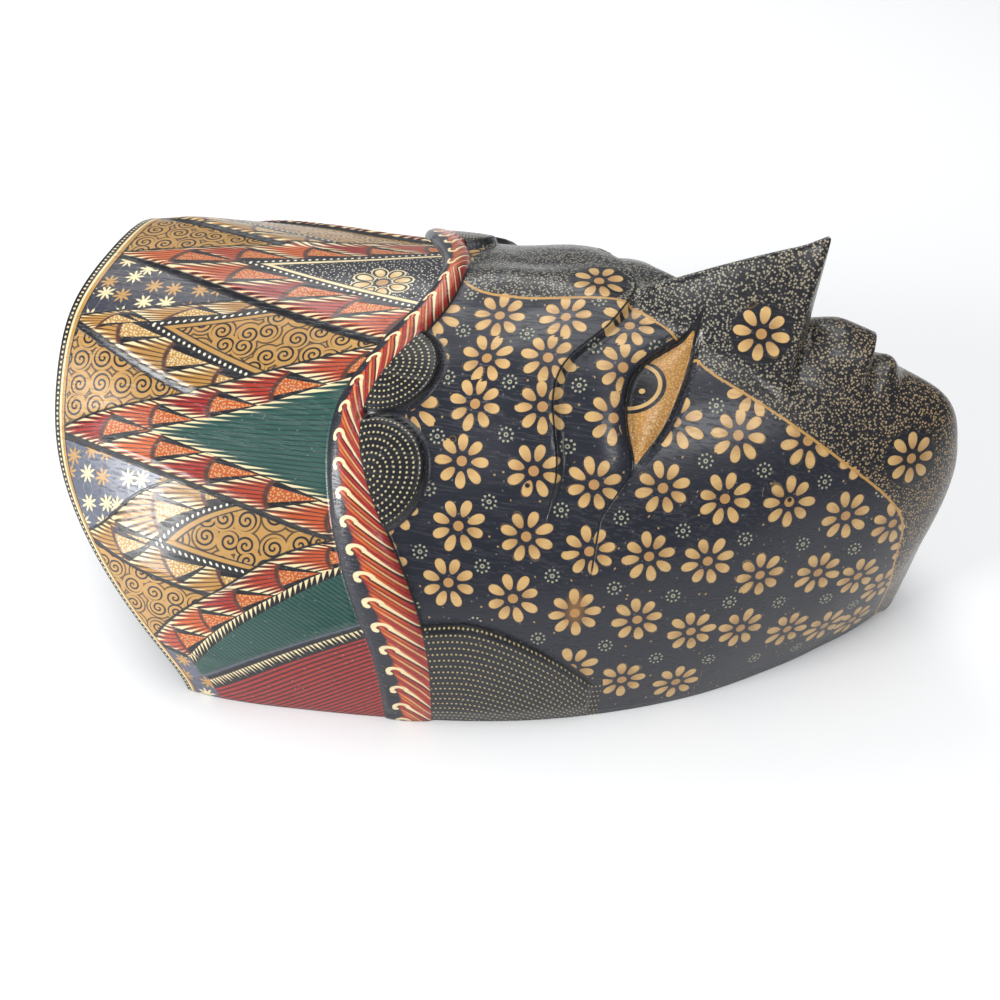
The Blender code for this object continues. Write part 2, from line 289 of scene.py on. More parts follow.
def crown_place(along, angle):
    """Share t from cut edge to band, and wedges w from the centre line, w bowed and closed with t."""
    start = crown_edge(angle)
    t = (along - start) / (across_face(BAND_CROWN_SIDE, half(angle)) - start)
    w = smooth(WEDGE_CORNERS, half(angle))
    bow = WEDGE_BOW * np.sin(np.pi * np.clip(t, 0, 1)) * bump(w, BOW_MIDDLE, 1)
    w = w / (1 - WEDGE_CLOSING * np.clip(t, 0, 1)) + bow
    return t, w * np.where(angle > 90, -1, 1)


def crown_relief(along, angle):
    """Each wedge |w - corner| < t rises to its lower side w = corner + t and drops there."""
    t, w = crown_place(along, angle)
    rise = np.zeros_like(w)
    for parity in (1, 0):
        corner = parity + 2 * np.round((w - parity) / 2)
        back = np.maximum(corner + t - w, 0)
        inside = ramp(t - np.abs(w - corner), 0, WALL_RUN)
        rise = rise * (1 - inside) + inside * np.exp(-back / WEDGE_FALL)
    last = LAST_WEDGE - 0.3 * t - np.abs(w)
    inside = ramp(last, 0, WALL_RUN)
    behind = np.exp(-np.maximum(last, 0) / WEDGE_FALL)
    rise = np.where(np.abs(w) > 3.6, np.maximum(rise, behind), rise) * inside
    return WEDGE_RISE * rise * between(t, *CROWN_SPAN) * ramp(half(angle), 0, 6)


def carving(along, angle):
    """Height over the plain front: the sum of wedges, band, hair, brow, lids, eye and mouth."""
    side = half(angle)
    across = round_length(along, 90 - side)
    rise = crown_relief(along, angle)
    low = across_face(BAND_CROWN_SIDE, side)
    high = across_face(BAND_FACE_SIDE, side)
    f = np.clip((along - low) / (high - low), 0, 1)
    over_band = ramp(along, low, low + 0.006)
    band = BAND_RISE * np.clip(4 * f * (1 - f), 0, 1) ** 0.45 * (0.25 + 0.75 * ramp(side, 0, 32))
    hair = np.zeros_like(rise)
    for place, turn, half_length, half_width in CURLS:
        reach = np.hypot((along - place) * CENTRE_LENGTH / half_length,
                         round_length(along, side - turn) / half_width)
        hair = np.maximum(hair, CURL_RISE * ramp(reach, 1.04, 0.94) * (1 - 0.25 * reach ** 2))
    leaf = ramp(smooth(SIDEBURN_EDGE, along) - side, 0, 1) * over_band
    leaf *= ramp(along, SIDEBURN_END, SIDEBURN_END - 0.005) * ramp(side, 0, 4)
    rise += np.maximum(np.maximum(band, hair * over_band), SIDEBURN_RISE * leaf)
    rise += FOREHEAD_RIDGE * bump(across, 0, RIDGE_REACH) * between(along, *RIDGE_SPAN)
    brow = across_face(BROW_LINE, side)
    over_eye = ramp(side, *BROW_END) * ramp(across, -BROW_FADE / 3, BROW_FADE)
    rise += BROW_RISE * between(along - brow, *BROW_SPAN) * over_eye
    lid_low = across_face(UPPER_LID, side)
    lid_high = across_face(LOWER_LID, side)
    lid = np.clip((along - brow) / (lid_low - brow), 0, 1)
    swelling = np.sin(np.pi * lid ** 1.6) ** 0.8 * (along < lid_low)
    rise += LID_STEP * swelling * between(side, *LID_SPAN)
    gap = np.maximum(lid_high - lid_low, 1e-5)
    f = np.clip((along - lid_low) / gap, 0, 1)
    slit = between(along, lid_low - 0.001, lid_low + 0.003, lid_high, lid_high + 0.003)
    opening = slit * between(side, *EYE_SPAN)
    rise -= EYE_DEPTH * opening * (1 - 0.45 * np.sin(np.pi * f))
    rise += MUZZLE_RISE * between(along, *MUZZLE_SPAN) * bump(across, 0, MUZZLE_REACH)
    rise += NOSE_FOOT_RISE * between(along, *NOSE_FOOT_SPAN) * bump(across, 0, NOSE_FOOT_REACH)
    rise += LOWER_LIP_RISE * bump(along, LOWER_LIP, 0.019) * bump(across, 0, LIP_REACH)
    return rise + CHIN_RISE * bump(along, CHIN_BALL, 0.045) * bump(across, 0, CHIN_REACH)


def nose(along, angle, front):
    """Blade: height grows from root to tip and falls with a power of the distance from the ridge."""
    across = np.sqrt(front[..., 1] ** 2 + RIDGE_ROUND ** 2) - RIDGE_ROUND
    up = np.clip((along - NOSE_ROOT) / (NOSE_TIP - NOSE_ROOT), 0, 1)
    under = np.clip((NOSE_BASE - along) / (NOSE_BASE - NOSE_TIP), 0, 40)
    width = NOSE_HALF_WIDTH * (NOSE_ROOT_WIDTH + (1 - NOSE_ROOT_WIDTH) * up)
    side = np.clip(1 - across / width, 0, 1)
    slope = np.clip((along - NOSE_ROOT) / (NOSE_TIP - NOSE_ROOT), 0, 2) ** 0.95
    ridge = -NOSE_HEIGHT / 16 * np.log(np.exp(-16 * slope) + np.exp(-16 * under))
    ridge = np.clip(ridge, 0, None) * ramp(along, NOSE_ROOT, NOSE_ROOT + 0.02)
    lift = ridge * side ** 1.55
    front[..., 2] += lift
    front[..., 0] += NOSE_LEAN * lift / NOSE_HEIGHT
    return front


def carved_front(along, angle):
    """The plain front moved out along its normals by the carving, with the nose raised on it."""
    front = plain_front(along, angle) + outward(along, angle) * carving(along, angle)[..., None]
    return nose(along, angle, front)


def grid_places(rows, columns):
    """Places of a grid: rows even between crown edge, band, nose and chin, columns closing on the nose."""
    share = np.linspace(-1, 1, columns + 1)
    closing = np.concatenate([np.zeros(rows[0] + rows[1]), ramp(np.linspace(0, 1, rows[2]), 0, 0.9),
                              np.ones(sum(rows[3:]) + 1)])[:, None] * NOSE_CLOSING
    angle = 90 + 90 * ((1 - closing) * share + closing * share ** 3)
    lines = [across_face(line, half(angle)) for line in (BAND_CROWN_SIDE, BAND_FACE_SIDE)]
    marks = [line + 0 * angle for line in (crown_edge(angle), *lines, NOSE_TIP, NOSE_BASE, 1)]
    along = marks[-1].copy()
    start = 0
    for number, count in enumerate(rows):
        part = np.arange(count)[:, None] / count
        span = slice(start, start + count)
        along[span] = marks[number][span] * (1 - part) + marks[number + 1][span] * part
        start += count
    return along, angle


def hollow_back(along, angle):
    """The plain front with its lines inset by the wall and its rows moved on by the crown wall."""
    crown = CROWN_WALL / CENTRE_LENGTH * (1 - along)
    back = plain_front(along + crown, angle, WALL)
    back[-1, :, 2] = 0
    return back


def side_by_side(a, b):
    """Quads between two equal rows of point numbers."""
    return np.stack([a[:-1], a[1:], b[1:], b[:-1]], axis=-1).reshape(-1, 4)


def sheet_faces(grid):
    """Quads of a grid of point numbers."""
    return np.stack([grid[:-1, :-1], grid[1:, :-1], grid[1:, 1:], grid[:-1, 1:]], axis=-1).reshape(-1, 4)


def rim_faces(outer, inner):
    """Flat rim pieces: each step of the inner loop faces BACK_STEP steps of the outer loop."""
    return [[*outer[k * BACK_STEP:(k + 1) * BACK_STEP + 1], inner[k + 1], inner[k]]
            for k in range(len(inner) - 1)]


ALONG, ANGLE = grid_places(ROWS, COLUMNS)
front = carved_front(ALONG, ANGLE)
back_along, back_angle = grid_places([count // BACK_STEP for count in ROWS], COLUMNS // BACK_STEP)
back = hollow_back(back_along, back_angle)
number = np.arange(ALONG.size).reshape(ALONG.shape)
behind = ALONG.size + np.arange(back_along.size).reshape(back_along.shape)
front_faces = sheet_faces(number)
faces = front_faces.tolist() + sheet_faces(behind)[:, ::-1].tolist()
faces += [face[::-1] for face in rim_faces(number[:, 0], behind[:, 0])]
faces += rim_faces(number[:, -1], behind[:, -1])
faces += [face[::-1] for face in rim_faces(number[-1], behind[-1])]
for grid, order in ((number, 1), (behind, -1)):
    middle = grid.shape[1] // 2
    near = grid[0, :middle]
    far = grid[0, ::-1][:middle]
    faces += side_by_side(near, far)[:, ::order].tolist()
    faces.append([near[-1], grid[0, middle], far[-1]][::order])
faces.append([number[0, 0], number[0, -1], behind[0, -1], behind[0, 0]])
mesh = bpy.data.meshes.new("mask")
points = np.concatenate([front.reshape(-1, 3), back.reshape(-1, 3)])
mesh.from_pydata(points.tolist(), [], [list(map(int, face)) for face in faces])
mesh.shade_smooth()
mask = placed("painted_mask", mesh)
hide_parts("mask")
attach(mask, "root")


# Paint places. The patterns follow lines drawn on the wood, so each corner of the surface carries
# its run along and across the face in millimetres, its place on crown, band or face and in the
# nearest flower, ring, curl or eye, and its distance to the carved cuts of brow and lid.
MM = 1000
RUN_MM = CENTRE_LENGTH * MM
ZONE_LINE = ((101.5, 89.5), (104.5, 87.2), (108.4, 85.3), (114, 84.4), (128.5, 84.4), (138.4, 84.9),
             (145, 85), (149.5, 83.6), (154, 81), (159.6, 77.2), (165.2, 72.9), (175.4, 68.2),
             (183.7, 64.9), (192.4, 61.3), (200.7, 57.7), (207.5, 54.6), (215.8, 51), (224.2, 47.4),
             (229.5, 44.7), (233.3, 41.4), (236, 37.6), (239.8, 33.2), (246.2, 29), (261.3, 22.4),
             (278, 12), (301, 0))
FAR_SHIFT = 26
FAR_RUN = (150, 185)
FLOWER_START = (114.5, 49.5)
FLOWER_STEPS = (16, 10)
FLOWER_FAN = 0.0049
FAN_START = (114, 62)
FLOWER_REACH = 6.6
RING_REACH = 2.6
FLOWER_ROOM = 0.0114
RING_ROOM = 0.0078
FOOT_ROOM = 3.5
ZONE_FLOWERS = ((137, 90.5), (177, 79), (223, 61))
IRIS = (150, 66.5)
CURL_SIZE = 13
INK_MARGIN = 1.6
NO_INK = -4.0
NEVER = -9
PLAIN, FLOWER, RING, EYE, CURL, SIDEBURN = range(6)


def zone_sides(run):
    """Angles of the painted line round nose and chin: the near one, and its mirror with a shift."""
    near = smooth(ZONE_LINE, run)
    return near, 180 - near + FAR_SHIFT * ramp(run, FAR_RUN[1], FAR_RUN[0])


def zone_distance(places, along, angle):
    """Millimetres from each place to the painted line round nose and chin, positive inside it."""
    run = np.linspace(ZONE_LINE[0][0], 300.5, 500)
    distance = np.full(along.shape, np.inf)
    for line_angle in zone_sides(run):
        line = plain_front(run / RUN_MM, line_angle) * MM
        nearest = [np.linalg.norm(row[:, None] * MM - line[None], axis=-1).min(axis=1) for row in places]
        distance = np.minimum(distance, nearest)
    near, far = zone_sides(along * RUN_MM)
    inside = (angle > near) & (angle < far) & (along * RUN_MM > ZONE_LINE[0][0])
    return distance * np.where(inside, 1, -1)


def motif_layout(dice):
    """Kind, place along in mm, angle, reach and seed of each flower and ring on both halves."""
    layout = []
    for shift, kind, reach in ((0, FLOWER, FLOWER_REACH), (0.5, RING, RING_REACH)):
        for i in np.arange(-1, 9) + shift:
            for j in np.arange(-4, 4) + shift:
                run = FLOWER_START[0] + FLOWER_STEPS[0] * i + dice.uniform(-1, 1)
                turn = FLOWER_START[1] + FLOWER_STEPS[1] * j + dice.uniform(-0.7, 0.7)
                fan = FLOWER_FAN * (run - FAN_START[0])
                turn = turn if turn > FAN_START[1] else turn * (1 + fan) - FAN_START[1] * fan
                layout += [(kind, run, angle, reach, dice.random()) for angle in (turn, 180 - turn)]
    return [spot for spot in layout if FOOT_ROOM < spot[2] < 180 - FOOT_ROOM]


def without_crowding(layout):
    """The layout without the flowers and rings that would overlap a flower before them."""
    kept = []
    for spot in layout:
        middle = carved_front(np.array([spot[1]]) / RUN_MM, np.array([spot[2]]))
        room = FLOWER_ROOM if spot[0] == FLOWER else RING_ROOM
        flowers = [place for other, place in kept if other[0] == FLOWER]
        if all(np.linalg.norm(middle - place) > room for place in flowers):
            kept.append((spot, middle))
    return [spot for spot, middle in kept]


def motif_frames(layout):
    """Middle of each motif on the carved wood, and unit vectors along, across and out of it."""
    run, turn = np.array([(spot[1] / RUN_MM, spot[2]) for spot in layout]).T
    middle = carved_front(run, turn)
    ahead = unit(carved_front(run + 0.008, turn) - carved_front(run - 0.008, turn))
    out = unit(np.cross(ahead, carved_front(run, turn + 1.5) - carved_front(run, turn - 1.5)))
    return middle, ahead, np.cross(out, ahead)


def nearest_motif(layout, middles, centres, allowed):
    """Number of the allowed motif with the least distance past its reach, for each face centre."""
    reach = np.array([spot[3] for spot in layout]) / MM
    numbers = []
    for row in np.array_split(np.arange(len(centres)), ALONG.shape[0]):
        gap = np.linalg.norm(centres[row, None] - middles[None], axis=-1) - reach
        numbers.append(np.where(allowed[row], gap, np.inf).argmin(axis=1))
    return np.concatenate(numbers)


def step_lengths(places, axis):
    """Millimetres from each place of a grid to the next one along an axis."""
    return np.linalg.norm(np.diff(places, axis=axis), axis=-1) * MM


def at_corners(grid):
    """The values of the front's points, taken at the four corners of each of its faces."""
    return grid.reshape(ALONG.size, -1)[front_faces]


dice = np.random.default_rng(5)
side = half(ANGLE)
plain_places = plain_front(ALONG, ANGLE)
on_face = ramp(ALONG[:, 1:], 0.44, 0.5)
steps = step_lengths(plain_places, 1) * (1 - on_face) + step_lengths(front, 1) * on_face
across_run = np.concatenate([np.zeros((len(ALONG), 1)), np.cumsum(steps, axis=1)], axis=1)
across_run -= across_run[:, COLUMNS // 2:COLUMNS // 2 + 1]
run_layer = np.stack([ALONG * RUN_MM, across_run], axis=-1)

band_low = across_face(BAND_CROWN_SIDE, side)
band_high = across_face(BAND_FACE_SIDE, side)
band_row = ROWS[0] + ROWS[1] // 2
band_run = np.concatenate(([0], np.cumsum(step_lengths(plain_places[band_row], 0))))
band_run -= band_run[COLUMNS // 2]
band_layer = np.stack([(ALONG - band_low) / (band_high - band_low),
                       np.broadcast_to(band_run, ALONG.shape)], axis=-1)
crown_layer = np.stack(crown_place(ALONG, ANGLE), axis=-1)

brow_gap, lower_gap = [(ALONG - across_face(line, side)) * RUN_MM for line in (BROW_LINE, LOWER_LID)]
outline = np.full(ALONG.shape, NO_INK)
kind_map = np.full(ALONG.shape, PLAIN)
local = np.zeros(ALONG.shape + (2,))
lid_gap = np.minimum((ALONG - across_face(UPPER_LID, side)) * RUN_MM, -lower_gap)
lid_gap = np.where((side > 46) & (side < 84), lid_gap, NEVER)
leaf_gap = round_length(ALONG, smooth(SIDEBURN_EDGE, ALONG) - side) * MM
leaf_gap = np.where((ALONG > band_high - 0.01) & (ALONG < SIDEBURN_END + 0.01), leaf_gap, NEVER)
inks = [(EYE, lid_gap, (ALONG * RUN_MM - IRIS[0], round_length(ALONG, side - IRIS[1]) * MM)),
        (SIDEBURN, leaf_gap, (ALONG * RUN_MM, leaf_gap))]
for place, turn, half_length, half_width in CURLS:
    x = (ALONG - place) * CENTRE_LENGTH / half_length
    y = round_length(ALONG, side - turn) / half_width
    inks.append((CURL, (0.99 - np.hypot(x, y)) * half_width * MM, (CURL_SIZE * x, CURL_SIZE * y)))
for kind, gap, (x, y) in inks:
    here = gap > np.maximum(outline, -INK_MARGIN)
    outline = np.maximum(outline, gap)
    kind_map = np.where(here, kind, kind_map)
    local = np.where(here[..., None], np.stack([x, y], axis=-1), local)
zone = zone_distance(plain_places, ALONG, ANGLE)
face_layer = np.stack([zone, outline], axis=-1)

layout = without_crowding(motif_layout(dice))
zone_start = len(layout)
layout += [(FLOWER, run, turn, FLOWER_REACH, 0.2) for run, turn in ZONE_FLOWERS]
layout += [(FLOWER, run, 180 - turn, FLOWER_REACH, 0.7) for run, turn in ZONE_FLOWERS[1:]]
middles, aheads, sideways = motif_frames(layout)
corner_places = at_corners(front)
zone_faces = at_corners(zone).min(axis=1) > 0
in_zone = np.arange(len(layout)) >= zone_start
owner = nearest_motif(layout, middles, corner_places.mean(axis=1), zone_faces == in_zone)
offset = (corner_places - middles[owner][:, None]) * MM
motif = np.stack([(offset * way[owner][:, None]).sum(axis=-1) for way in (aheads, sideways)], axis=-1)
kinds, seeds = np.array([(spot[0], spot[4]) for spot in layout])[owner].T
inked = at_corners(kind_map)[..., 0]
same_ink = (inked > PLAIN).all(axis=1) & (inked == inked[:, :1]).all(axis=1)
motif = np.where(same_ink[:, None, None], at_corners(local), motif)
kinds = np.where(same_ink, inked[:, 0], kinds)
kind_layer = np.repeat(np.stack([kinds, seeds], axis=-1)[:, None], 4, axis=1)


def fill_layer(name, corners):
    """A UV layer whose first corners are those of the front, with nothing on the rest."""
    layer = mesh.uv_layers.new(name=name)
    values = np.zeros((len(mesh.loops), 2))
    values[:corners.size // 2] = corners.reshape(-1, 2)
    layer.data.foreach_set("uv", values.ravel())


row_of_face = np.repeat(np.arange(len(ALONG) - 1), COLUMNS)
region = np.searchsorted((ROWS[0], ROWS[0] + ROWS[1]), row_of_face, side="right")
places = np.stack([crown_layer, band_layer, face_layer]).reshape(3, -1, 2)
fill_layer("run", at_corners(run_layer))
fill_layer("place", places[region[:, None], front_faces])
fill_layer("motif", motif)
fill_layer("kind", kind_layer)
fill_layer("cuts", at_corners(np.stack([brow_gap, lower_gap], axis=-1)))


# Paint and lacquer. Every part of the front is painted with a fine tool over a dark ground and
# sealed with satin lacquer, through which the grain of the wood still shows.
def pigment(red, green, blue):
    """Linear colour from sRGB levels: ((level / 255 + 0.055) / 1.055) ** 2.4."""
    return tuple(((level / 255 + 0.055) / 1.055) ** 2.4 for level in (red, green, blue)) + (1,)


INK = pigment(24, 24, 30)
NIGHT = pigment(29, 31, 42)
# Slate as seen under a highlight, used for painted glare and a painted highlight line on the crown.
SLATE_HIGHLIGHT = pigment(84, 90, 108)
CREAM = pigment(234, 216, 170)
IVORY = pigment(238, 232, 212)
PETAL = pigment(206, 168, 110)
HEART = pigment(180, 136, 84)
GOLD = pigment(186, 142, 78)
OCHRE = pigment(176, 122, 52)
ORANGE = pigment(207, 100, 44)
RED = pigment(160, 44, 38)
DUST = pigment(150, 150, 150)
SOFT = 0.07
COAT = 0.2
COAT_ROUGHNESS = 0.16
GRAIN = (90, 1500, 1500)
CLOUDS = 45.0
SPECKS = 420.0


def operator(operation):
    """A method that joins a signal and other numbers in one Math node."""
    return lambda self, *others: self.math(operation, *others)


class Signal:
    """A number or colour in a node tree. Arithmetic on it adds Math nodes and gives the result."""

    __add__ = operator("ADD")
    __sub__ = operator("SUBTRACT")
    __mul__ = operator("MULTIPLY")
    __truediv__ = operator("DIVIDE")
    __or__ = operator("MAXIMUM")
    __and__ = operator("MINIMUM")
    size = operator("ABSOLUTE")
    whole = operator("FLOOR")
    nearest = operator("ROUND")
    rest = operator("FRACT")
    past = operator("GREATER_THAN")
    short_of = operator("LESS_THAN")

    def __init__(self, tree, socket):
        self.tree, self.socket = tree, socket

    def math(self, operation, *others, clamp=False):
        node = self.tree.nodes.new("ShaderNodeMath")
        node.operation = operation
        node.use_clamp = clamp
        return filled(self.tree, node, self, *others)[0]

    def __neg__(self):
        return self * -1

    def held(self):
        """The number held between 0 and 1."""
        return self.math("ADD", 0.0, clamp=True)

    def outside(self):
        """One minus a mask."""
        return -self + 1

    def over(self, edge, soft=SOFT):
        """Mask that goes from 0 below the edge to 1 above it, over a soft step."""
        return ((self - edge) * (0.5 / soft)).math("ADD", 0.5, clamp=True)

    def under(self, edge, soft=SOFT):
        return self.over(edge, soft).outside()

    def near(self, middle, reach, soft=SOFT):
        return (self - middle).size().under(reach, soft)

    def pick(self, off, on):
        """Mask that blends two numbers."""
        node = self.tree.nodes.new("ShaderNodeMix")
        for place, value in ((0, self), (2, off), (3, on)):
            connect(self.tree, node.inputs[place], value)
        return Signal(self.tree, node.outputs[0])

    def lay(self, under, colour):
        """Mask that lays one colour over another."""
        node = self.tree.nodes.new("ShaderNodeMix")
        node.data_type = "RGBA"
        for place, value in ((0, self), (6, under), (7, colour)):
            connect(self.tree, node.inputs[place], value)
        return Signal(self.tree, node.outputs[2])


def connect(tree, socket, value):
    """Link a signal to a socket, or set the socket's own value."""
    if isinstance(value, Signal):
        tree.links.new(value.socket, socket)
    else:
        socket.default_value = value


def filled(tree, node, *values):
    """A node with its first inputs connected in order: its outputs as signals."""
    for socket, value in zip(node.inputs, values):
        connect(tree, socket, value)
    return [Signal(tree, socket) for socket in node.outputs]


def parts(tree, place):
    """The first two numbers of a place."""
    return filled(tree, tree.nodes.new("ShaderNodeSeparateXYZ"), place)[:2]


def vector(tree, x, y):
    return filled(tree, tree.nodes.new("ShaderNodeCombineXYZ"), x, y)[0]


def layer(tree, name):
    """The two numbers of one of the surface's layers."""
    source = tree.nodes.new("ShaderNodeUVMap")
    source.uv_map = name
    return parts(tree, Signal(tree, source.outputs[0]))


def wood_place(tree):
    """The place in the block of wood, in metres."""
    return Signal(tree, tree.nodes.new("ShaderNodeTexCoord").outputs["Object"])


def texture(tree, kind, place, scale, flat=False, **settings):
    """A texture read at a place in three dimensions, or two if flat; its outputs by name."""
    node = tree.nodes.new("ShaderNodeTex" + kind)
    setattr(node, kind.lower() + "_dimensions", "2D" if flat else "3D")
    for label, value in (("Vector", place), ("Scale", scale), *settings.items()):
        connect(tree, node.inputs[label], value)
    return {socket.name: Signal(tree, socket) for socket in node.outputs}


def polar(x, y):
    """Distance from the middle and turn round it, from -0.5 to 0.5."""
    reach = (x * x + y * y).math("SQRT")
    return reach, y.math("ARCTAN2", x) / (2 * np.pi)


def scattered(tree, x, y, spacing, jitter):
    """Distance and turn from the point of a jittered square cell, and the point's own numbers."""
    place = vector(tree, x / spacing, y / spacing)
    cells = texture(tree, "Voronoi", place, 1.0, flat=True, Randomness=jitter)
    along, across = parts(tree, cells["Position"])
    return *polar(x - along * spacing, y - across * spacing), along, across


def effect(made, **given):
    """Makes a function of signals a node group with named inputs and outputs, placed by a call."""
    def grouped(build):
        group = bpy.data.node_groups.new(build.__name__.replace("_", " "), "ShaderNodeTree")
        for way, labels in (("INPUT", given), ("OUTPUT", made.split())):
            for label in labels:
                kind = "NodeSocketColor" if label == "Colour" else "NodeSocketFloat"
                socket = group.interface.new_socket(name=label, in_out=way, socket_type=kind)
                if way == "INPUT":
                    socket.default_value = given[label]
        start = filled(group, group.nodes.new("NodeGroupInput"))[:len(given)]
        filled(group, group.nodes.new("NodeGroupOutput"), *build(group, *start))

        def place(tree, *values):
            node = tree.nodes.new("ShaderNodeGroup")
            node.node_tree = group
            signals = filled(tree, node, *values)
            return signals if len(signals) > 1 else signals[0]
        return place
    return grouped


@effect("Dots", X=0, Y=0, Spacing=1.3, Radius=0.3, Jitter=0.6)
def stipple(tree, x, y, spacing, radius, jitter):
    """Dots of even size, jittered on a square grid: within the radius of each cell's point."""
    return [scattered(tree, x, y, spacing, jitter)[0].under(radius)]


@effect("Dots", Spacing=0.85, Radius=0.3)
def speckle(tree, spacing, radius):
    """Dots scattered through the wood and cut by its surface: within the radius of each point."""
    cells = texture(tree, "Voronoi", wood_place(tree), spacing.math("POWER", -1.0) * MM)
    return [(cells["Distance"] * spacing).under(radius)]


@effect("Dots", Along=0, Across=0, Pitch=1.3, Radius=0.3)
def dot_row(tree, along, across, pitch, radius):
    """A row of dots: distance to the nearest half pitch along, and to the row across."""
    step = ((along / pitch).rest() - 0.5) * pitch
    return [polar(step, across)[0].under(radius)]


@effect("Petals Heart Shade", X=0, Y=0, Seed=0, Count=8, Place=4.5, Length=2.05, Width=1.25, Heart=1.3)
def petal_ring(tree, x, y, seed, count, place, length, width, heart):
    """Egg-shaped petals round a heart: the turn folded to one petal, each one stretched by its seed."""
    reach, turn = polar(x, y)
    turn = (turn + seed * 3.7) * count
    chance = tree.nodes.new("ShaderNodeTexWhiteNoise")
    chance.noise_dimensions = "2D"
    luck = filled(tree, chance, vector(tree, (turn + 100.0).whole(), seed * 91.0))[0] - 0.5
    fold = ((turn + 100.0).rest() - 0.5 + luck * 0.12) / count * (2 * np.pi)
    out = (reach * fold.math("COSINE") - place - luck * 0.5) / (length + luck * 0.3)
    aside = reach * fold.math("SINE") / (width * (out * 0.2 + 1.0))
    egg = polar(out, aside)[0]
    return ((egg - 1.0) * width).under(0.0), reach.under(heart), (out * 0.5 + 0.5 + luck * 0.5).held()


@effect("Lines", X=0, Y=0, Spacing=4.6, Pitch=1.15)
def spirals(tree, x, y, spacing, pitch):
    """Spirals: in each jittered cell, turns of a line at fract(distance / pitch - turn)."""
    reach, turn, along, across = scattered(tree, x, y, spacing, 0.45)
    flip = (along * 7.31).rest().past(0.5) * 2 - 1
    coil = (reach / pitch - turn * flip + across * 3.3).rest()
    arms = ((coil - 0.5).size() * pitch).under(pitch * 0.2) * reach.under(spacing * 0.45)
    gaps = (reach - spacing * 0.6).size().under(pitch * 0.17)
    return [arms | gaps * 0.85]


@effect("Stars Chance", X=0, Y=0, Spacing=5.6)
def little_stars(tree, x, y, spacing):
    """Little stars: rays that narrow outwards round the point of each jittered cell."""
    reach, turn, along, across = scattered(tree, x, y, spacing, 0.5)
    ray = ((turn + along * 5.1 + 100.0) * 8.0).rest() - 0.5
    aside = ray.size() * (2 * np.pi / 8) * reach
    thin = ((-reach / spacing + 0.44) * 9).held() * 0.34
    return (aside - thin).under(0.0), (across * 3.77).rest()


@effect("Tips Gaps", Lines=0, Depth=0)
def strokes(tree, lines, depth):
    """Brush strokes side by side, each with a pale tip that ends at the given depth from an edge."""
    beat = (lines.whole() * 0.618).rest()
    aside = (lines.rest() - 0.5).size() * 2
    tips = (aside + depth * 0.9 - beat * 0.3).under(0.55, 0.12) * depth.over(0.0, 0.05)
    return tips, (aside - (depth & 1.0) * 0.15).over(0.6, 0.14)


@effect("Colour Roughness Relief", Colour=DUST, Relief=0)
def lacquer(tree, colour, relief):
    """Grain, specks and mottling of the lacquer over a painted colour, from the place on the wood."""
    place = wood_place(tree)
    stretch = tree.nodes.new("ShaderNodeMapping")
    stretch.inputs["Scale"].default_value = GRAIN
    fibres = filled(tree, stretch, place)[0]
    grain = texture(tree, "Noise", fibres, 1.0, Detail=3.0)["Fac"]
    cloud = texture(tree, "Noise", place, CLOUDS, Detail=4.0)["Fac"]
    specks = texture(tree, "Voronoi", place, SPECKS)["Distance"].under(0.10, 0.04) * 0.35
    pores = grain.over(0.62, 0.08)
    shaded = tree.nodes.new("ShaderNodeVectorMath")
    shaded.operation = "SCALE"
    connect(tree, shaded.inputs["Scale"], (cloud * 0.3 + 0.85) - pores * 0.10)
    dusty = specks.lay(filled(tree, shaded, colour)[0], DUST)
    return dusty, cloud * 0.16 + 0.24 + pores * 0.1, relief + grain * 0.06 - pores * 0.10


def painted(name):
    """A new material for a painted part: its tree and its shader."""
    material = bpy.data.materials.new(name)
    material.use_nodes = True
    mesh.materials.append(material)
    shader = material.node_tree.nodes["Principled BSDF"]
    shader.inputs["Coat Weight"].default_value = COAT
    shader.inputs["Coat Roughness"].default_value = COAT_ROUGHNESS
    return material.node_tree, shader


def seal(tree, shader, colour, relief):
    """Finish a painted material: lacquer over the colour, with the relief of strokes in millimetres."""
    sealed, gloss, height = lacquer(tree, colour, relief)
    connect(tree, shader.inputs["Base Color"], sealed)
    connect(tree, shader.inputs["Roughness"], gloss)
    raised = tree.nodes.new("ShaderNodeBump")
    raised.inputs["Distance"].default_value = 1 / MM
    connect(tree, raised.inputs["Height"], height)
    tree.links.new(raised.outputs["Normal"], shader.inputs["Normal"])


# Crown. Overlapping wedges open from corners on the crown edge. Each is framed by rows of feathered
# scales in red or gold round a field of spirals, green stripes or one flower, with stars or
# spirals in the triangles between the corners, and dark carved steps along the lower sides.
GREEN = pigment(46, 84, 76)
PINE = pigment(20, 44, 44)
EMBER = pigment(188, 88, 42)
BAR_BROWN = pigment(84, 50, 42)
DULL_SLATE = pigment(48, 50, 62)
DEEP_RED = pigment(58, 16, 22)
CROWN_MM = 83
WEDGE_MM = 26
CROWN_FLOWER = (0.845, 0.12)
# Seed, count, place, length, width and heart of the petals' paint, dark edge and cream edge.
CROWN_PETALS = (0.1, 8.0, 4.8, 1.9, 1.15, 1.4)
CROWN_DARK_EDGE = (0.1, 8.0, 4.85, 2.4, 1.75, 2.0)
CROWN_CREAM_EDGE = (0.1, 8.0, 4.9, 2.75, 2.05, 2.1)
